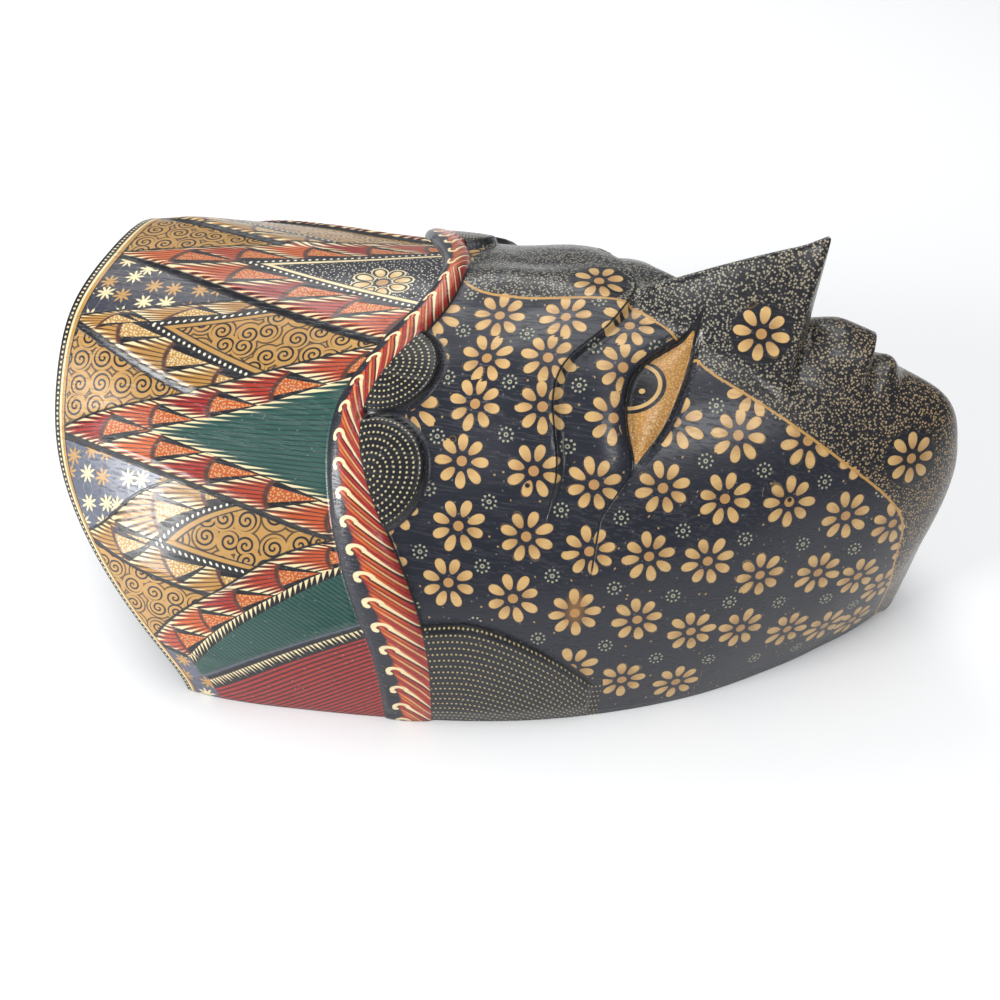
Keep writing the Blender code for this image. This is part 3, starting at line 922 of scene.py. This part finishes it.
# Spacing, radius and jitter of dots, and spacing and pitch of spirals, in millimetres.
SCALE_SPECKS = (0.8, 0.22, 0.8)
NIGHT_DUST = (1.1, 0.17, 1.0)
WHORLS = (6.2, 1.5)
STAR_SPACING = 6.2
EVEN_WIDTHS = (0.44, 0.35)
ODD_WIDTHS = (0.325, 0.18)
THIRD_WIDTH = 0.36
SCALE_PITCH = 0.38
SCALE_BAR = 1.12
LAST_CORNER = 4.0
LAST_START = 0.17
FIELD_FRAME = ((0.125, INK), (0.112, None), (0.075, INK))
CROWN_BORDER = ((3.9, INK), (3.5, GOLD), (2.5, CREAM), (1.8, INK))


def scale_colours(tree, left, right, gold, luck):
    """One feathered scale in a cell: pale-tipped strokes to the middle, a bar, then a speckled tip."""
    x, y = layer(tree, "run")
    middle = left + right
    aside = right - left
    depth = left & right
    tips, gaps = strokes(tree, aside / (-middle + 2.6) * 7.5 + luck * 3, depth * 3.0)
    body = gold.lay((luck * luck).lay(RED, ORANGE), (middle * 0.6).lay(OCHRE, GOLD))
    body = (gaps * 0.9 | depth.under(0.10, 0.05)).lay(body, INK)
    body = tips.lay(body, CREAM)
    tip = stipple(tree, x, y, *SCALE_SPECKS).lay(gold.lay(EMBER, GOLD), gold.lay(PETAL, CREAM))
    tip = (-middle + 1.93 - aside.size() * 1.6).over(0.0, 0.02).lay(INK, tip)
    bowed = middle - aside * aside * 0.12
    colour = bowed.over(SCALE_BAR, 0.02).lay(body, tip)
    return bowed.near(SCALE_BAR, 0.045, 0.02).lay(colour, BAR_BROWN)


def paint_crown():
    tree, shader = painted("crown paint")
    t, w = layer(tree, "place")
    x, y = layer(tree, "run")
    side = w.size()
    even = (((w & 4.9) | -4.9) * 0.5).nearest() * 2
    odd = ((w - 1) * 0.5).nearest() * 2 + 1
    from_even = t - (w - even).size()
    from_odd = t - (w - odd).size()
    before_last = (side - LAST_CORNER - t).past(0.0) * t.under(LAST_START, 0.001)
    in_last = (side - LAST_CORNER + t).past(0.0) * before_last.outside()
    in_even = from_even.past(0.0) | in_last
    in_wedge = in_even | from_odd.past(0.0)
    corner = in_last.pick(in_even.pick(odd, even), LAST_CORNER)
    here = in_last.pick(w, side)
    left = corner - here + t
    right = here - corner + t
    number = corner.size()
    gold = ((corner * 0.5).rest() * 2).over(0.5, 0.01)
    left_width = in_last.pick(gold.pick(EVEN_WIDTHS[0], ODD_WIDTHS[0]), -1.0)
    right_width = gold.pick(EVEN_WIDTHS[1], number.over(2.0, 0.01).pick(ODD_WIDTHS[1], THIRD_WIDTH))
    in_left = left.short_of(left_width)
    in_right = right.short_of(right_width)
    left_cell = in_left.pick((left / SCALE_PITCH).rest(), left / left_width)
    right_cell = in_right.pick((right / SCALE_PITCH).rest(), right / right_width)
    number_left = in_left.pick((left / SCALE_PITCH).whole(), 9.0)
    number_right = in_right.pick((right / SCALE_PITCH).whole(), 5.0)
    luck = ((number_left * 3.7 + number_right * 5.3 + corner * 1.7) * 0.618).rest()
    scales = scale_colours(tree, left_cell, right_cell, gold, luck)

    margin = (left - left_width) & (right - right_width)
    spiral_field = spirals(tree, x, y, *WHORLS).lay(GOLD, INK)
    stars, chance = little_stars(tree, x, y, STAR_SPACING)
    # Painted glare: farther than about 33 mm from the centre line, the star fields' ground goes from dull
    # slate to highlighted slate.
    painted_glare = (y.size() / 60).over(0.55, 0.3)
    star_field = stars.lay(painted_glare.lay(DULL_SLATE, SLATE_HIGHLIGHT), chance.past(0.55).lay(CREAM, GOLD))

    spot = (t - CROWN_FLOWER[0]) * CROWN_MM, (w - CROWN_FLOWER[1]) * WEDGE_MM
    petals, heart, shade = petal_ring(tree, *spot, *CROWN_PETALS)
    dark = petal_ring(tree, *spot, *CROWN_DARK_EDGE)
    night = stipple(tree, x, y, *NIGHT_DUST).lay(NIGHT, IVORY)
    night = petal_ring(tree, *spot, *CROWN_CREAM_EDGE)[0].lay(night, CREAM)
    night = (dark[0] | dark[1]).lay(night, NIGHT)
    night = petals.lay(night, shade.lay(PETAL, CREAM))
    night = heart.lay(night, HEART)

    tips, gaps = strokes(tree, w * 20, margin * 9)
    green = (gaps * 0.8).lay(GREEN, PINE)
    green = tips.lay(green, CREAM)

    beside = number.over(0.5, 0.01)
    in_green = number.near(2.0, 0.4, 0.01)
    framed = in_green.outside()
    field = beside.lay(night, spiral_field)
    field = in_green.lay(field, green)
    for reach, paint in FIELD_FRAME:
        field = (margin.under(reach, 0.004) * framed).lay(field, paint or beside.lay(CREAM, GOLD))
    beads = dot_row(tree, t * CROWN_MM, (margin - 0.037) * WEDGE_MM, 1.7, 0.37)
    field = (beads * framed).lay(field, IVORY)

    groove = -side - t * 0.3 + LAST_WEDGE
    dashes = strokes(tree, t * 44 + right * 6, (right - right_width) * 9)[0]
    hatch = strokes(tree, t * 60 - right * 12, 1.0)[1]
    lower = right.under(right_width + 0.10, 0.004).lay(hatch.lay(GREEN, PINE), INK)
    lower = dashes.lay(lower, CREAM)
    foot = strokes(tree, side * 16 + t * 5, 0.0)[1].lay(RED, DEEP_RED)
    foot = groove.over(-0.20, 0.01).lay(foot, INK)
    foot_dashes = strokes(tree, t * 48 - side * 8, (-groove - 0.06) * 8)[0]
    foot = (foot_dashes * groove.under(-0.06, 0.01)).lay(foot, CREAM)
    lower = groove.under(0.0, 0.004).lay(lower, foot)
    # Painted highlight: a thin line of highlighted slate along the upper edge of the last groove's step.
    lower = groove.near(0.015, 0.018, 0.008).lay(lower, SLATE_HIGHLIGHT)
    field = in_last.lay(field, lower)

    spiral_gap = ((w.whole() * 0.5).rest() * 2).over(0.5, 0.01)
    colour = spiral_gap.lay(star_field, spiral_field)
    colour = in_wedge.lay(colour, (in_left | in_right).lay(field, scales))

    even_line = from_even.size().under((w - even).past(0.0).pick(0.012, 0.036), 0.006)
    even_line = even_line * (side.past(LAST_CORNER) * t.past(LAST_START)).outside()
    odd_line = from_odd.size().under((w - odd).past(0.0).pick(0.012, 0.036), 0.006) * in_even.outside()
    seams = even_line | odd_line
    colour = seams.lay(colour, INK)
    edge = t * CROWN_MM
    for reach, paint in CROWN_BORDER:
        colour = edge.under(reach).lay(colour, paint)
    colour = dot_row(tree, y, edge - 0.95, 1.35, 0.34).lay(colour, CREAM)
    seal(tree, shader, colour, seams * -0.25)


# Band. A raised roll runs round the head between crown and face. Its crown side is dark, and
# feathery strokes with hooked cream heads sweep over red and orange to its face side.
WINE = pigment(112, 26, 34)
HOOK_PITCH = 6.9
HOOK_SWEEP = 1.75
HOOK_BEND = 1.4
HEAD_PLACE = 0.4
STROKES_PER_HOOK = 5


def paint_band():
    tree, shader = painted("band paint")
    across, run = layer(tree, "place")
    step = run.size() / HOOK_PITCH + 0.5
    sway = step - (across | 0.0).math("POWER", HOOK_BEND) * HOOK_SWEEP
    part = sway.rest()
    lines = part * STROKES_PER_HOOK
    luck = ((sway.whole() * STROKES_PER_HOOK + lines.whole()) * 0.618).rest()
    body = (across.over(0.72, 0.2) | luck.over(0.55, 0.1)).lay(ORANGE, RED)
    stroked = (strokes(tree, lines, 1.0)[1] * 0.95).lay(body, WINE)
    pale = (part - 0.72).size().under(0.045, 0.03) * across.over(0.5, 0.1)
    stroked = pale.lay(stroked, PETAL)
    colour = across.over((part - 0.5).size() * 0.16 + 0.34, 0.03).lay(NIGHT, stroked)
    taper = (-across + 1.12) * 0.19
    main = (part - 0.25).size().under(taper, 0.03) * across.over(HEAD_PLACE + 0.1, 0.02)
    x = (across - HEAD_PLACE) * 10
    y = ((step - HEAD_PLACE ** HOOK_BEND * HOOK_SWEEP).rest() - 0.52) * HOOK_PITCH
    arch = (polar(x, y)[0] - 1.4).size().under(0.45) * y.under(0.35)
    ball = polar(x + 1.2, y - 0.6)[0].under(0.62)
    hook = main | arch | ball
    colour = hook.lay(colour, CREAM)
    shadow = (part - 0.25 - taper - 0.06).size().under(0.04, 0.02) * across.over(0.45, 0.03)
    colour = shadow.lay(colour, INK)
    colour = (across.under(0.04, 0.01) | across.over(0.975, 0.01)).lay(colour, INK)
    seal(tree, shader, colour, hook * 0.06)


# Face. Flowers of eight petals on a blue-black ground alternate with rings of dots. A gold line
# parts them from the stippled forehead, nose, mouth and chin. The curls, the sideburns and the
# gold eyes lie inside their carved outlines.
PETAL_DEEP = pigment(174, 134, 84)
RING_PAINT = pigment(160, 160, 136)
PALE_STIPPLE = pigment(166, 160, 140)
GOLD_STIPPLE = pigment(180, 148, 100)
CURL_DOT = pigment(196, 184, 140)
LEAF_DOT = pigment(176, 160, 112)
EYE_GOLD = pigment(180, 130, 66)
EYE_DUST = pigment(214, 172, 106)
# Near black of the carved cuts: their own dark line together with painted shade in the crease.
CUT_INK_AND_SHADE = pigment(12, 12, 15)
# Count, place, length, width and heart of the flowers' petals, in millimetres.
FACE_PETALS = (8.0, 4.45, 2.05, 1.2, 1.25)
# Spacing, radius and jitter of dots.
CRUMBS = (5.6, 0.28, 1.0)
GOLD_DUST = (0.8, 0.2, 0.9)
ZONE_STIPPLE = (0.66, 0.24)
RING_BEADS = 9
RING_RADIUS = 1.62
CURL_ROW = 1.5
CURL_DOTS = 8.6
LEAF_ROW = 1.75
IRIS_RADIUS = 8.3
IRIS_LINE = 6.8
PUPIL = (2.8, -1.6)
WORM_HOLES = ((130, -55.2), (194.6, -44.6), (173.1, -12.2), (110.4, -47.8))
SMUDGE = (146, -86.5)


def paint_face():
    tree, shader = painted("face paint")
    zone, inside = layer(tree, "place")
    run, across = layer(tree, "run")
    x, y = layer(tree, "motif")
    kind, seed = layer(tree, "kind")
    is_flower, is_ring, is_eye, is_curl, is_leaf = [
        kind.near(number, 0.4, 0.01) for number in (FLOWER, RING, EYE, CURL, SIDEBURN)]
    clear = inside.under(-1.3, 0.15)
    is_flower = is_flower * clear
    is_ring = is_ring * clear
    in_zone = zone.over(0.0)
    reach, turn = polar(x, y)

    petals, heart, shade = petal_ring(tree, x, y, seed, *FACE_PETALS)
    bead_turn = (((turn + seed + 100.0) * RING_BEADS).rest() - 0.5) / RING_BEADS * 2 * np.pi
    beads = polar(reach - RING_RADIUS, bead_turn * reach)[0].under(0.29)
    pip = (reach - 0.42).size().under(0.16)
    crumbs = stipple(tree, run, across, *CRUMBS) * reach.over(6.9)
    ground = (crumbs * 0.6 * is_flower).lay(NIGHT, PETAL)
    stippled = (run / 100).over(2.0, 0.35).lay(PALE_STIPPLE, GOLD_STIPPLE)
    stippled = (speckle(tree, *ZONE_STIPPLE) * 0.85).lay(INK, stippled)
    stippled = (is_flower * reach.under(7.3, 0.4) * in_zone).lay(stippled, INK)
    colour = in_zone.lay(ground, stippled)
    colour = (petals * is_flower).lay(colour, (shade * 1.5 & 1.0).lay(PETAL_DEEP, PETAL))
    colour = (heart * is_flower).lay(colour, HEART)
    colour = ((beads | pip) * is_ring * in_zone.outside()).lay(colour, RING_PAINT)
    colour = zone.near(0.0, 0.34).lay(colour, GOLD)

    row = (reach / CURL_ROW).nearest()
    count = (row * CURL_DOTS).nearest() | 1.0
    dot_turn = (((turn + 100.0) * count).rest() - 0.5) / count * 2 * np.pi
    curl_dots = polar((reach / CURL_ROW - row) * CURL_ROW, dot_turn * reach)[0].under(0.25)
    # Painted reflection: on its band side, away from its middle, each curl's dark ground is laid a quarter
    # of the way to ivory.
    painted_reflection = turn.size().over(0.4, 0.08) * 0.25 * reach.over(4.0, 3.0)
    curl = curl_dots.lay(painted_reflection.lay(INK, IVORY), CURL_DOT)
    curl = inside.under(0.9).lay(curl, INK)
    leaf_row = y / LEAF_ROW
    leaf_across = (leaf_row.rest() - 0.5) * LEAF_ROW
    leaf = dot_row(tree, x + leaf_row.whole() * 0.6, leaf_across, 1.15, 0.25).lay(INK, LEAF_DOT)

    eye = stipple(tree, x, y, *GOLD_DUST).lay(EYE_GOLD, EYE_DUST)
    eye = reach.under(IRIS_RADIUS).lay(eye, INK)
    eye = (reach.near(IRIS_LINE, 0.5) * x.over(-4.0, 0.3)).lay(eye, PETAL)
    eye = polar(x - PUPIL[0], y - PUPIL[1])[0].under(0.75).lay(eye, PETAL)
    eye = inside.under(0.75).lay(eye, INK)

    shape = inside.over(0.0)
    for mask, paint in ((is_curl, curl), (is_leaf, leaf), (is_eye, eye)):
        colour = (shape * mask).lay(colour, paint)
    brow_cut, fold_cut = layer(tree, "cuts")
    # Painted shade in the carved cuts: a near-black line along the brow and lower-lid cuts and round the
    # curls, sideburns and eyes, partly their dark line and partly the crease's shade.
    brow_ink_and_shade = brow_cut.near(0.0, 0.2, 0.1) * across.size().under(63.0, 1.5)
    fold_ink_and_shade = fold_cut.near(0.0, 0.25, 0.12) * across.size().near(50.0, 26.0, 1.5)
    cut_ink_and_shade = inside.near(0.0, 0.28) * (is_curl | is_eye | is_leaf)
    cut_ink_and_shade = cut_ink_and_shade | (brow_ink_and_shade | fold_ink_and_shade) * shape.outside()
    colour = cut_ink_and_shade.lay(colour, CUT_INK_AND_SHADE)
    # Each worm hole is a painted dark disc for the shade inside it, with a faint gold ring round it and a
    # small dip in the relief.
    holes = 0.0
    for hole_run, hole_across in WORM_HOLES:
        hole = polar(run - hole_run, across - hole_across)[0]
        colour = (hole.near(0.75, 0.2) * 0.2).lay(colour, GOLD)
        colour = hole.under(0.55).lay(colour, INK)
        holes = hole.under(0.6) + holes
    worn = polar(run - SMUDGE[0], (across - SMUDGE[1]) * 0.5)[0] + crumbs * 2
    colour = (worn.under(2.2, 1.2) * 0.45).lay(colour, OCHRE)
    relief = petals * is_flower * 0.05 + beads * is_ring * 0.04 - cut_ink_and_shade * 0.2 - holes * 0.4
    seal(tree, shader, colour, relief)


# Back. The hollow, the rim and the crown end are bare wood, stained nearly black, with no pattern
# and no coat of gloss.
BARE_WOOD = pigment(46, 38, 32)


def paint_back():
    tree, shader = painted("stained wood")
    shader.inputs["Coat Weight"].default_value = 0.0
    seal(tree, shader, BARE_WOOD, 0.0)


paint_crown()
paint_band()
paint_face()
paint_back()
slots = np.full(len(mesh.polygons), 3)
slots[:len(region)] = region
mesh.polygons.foreach_set("material_index", slots)
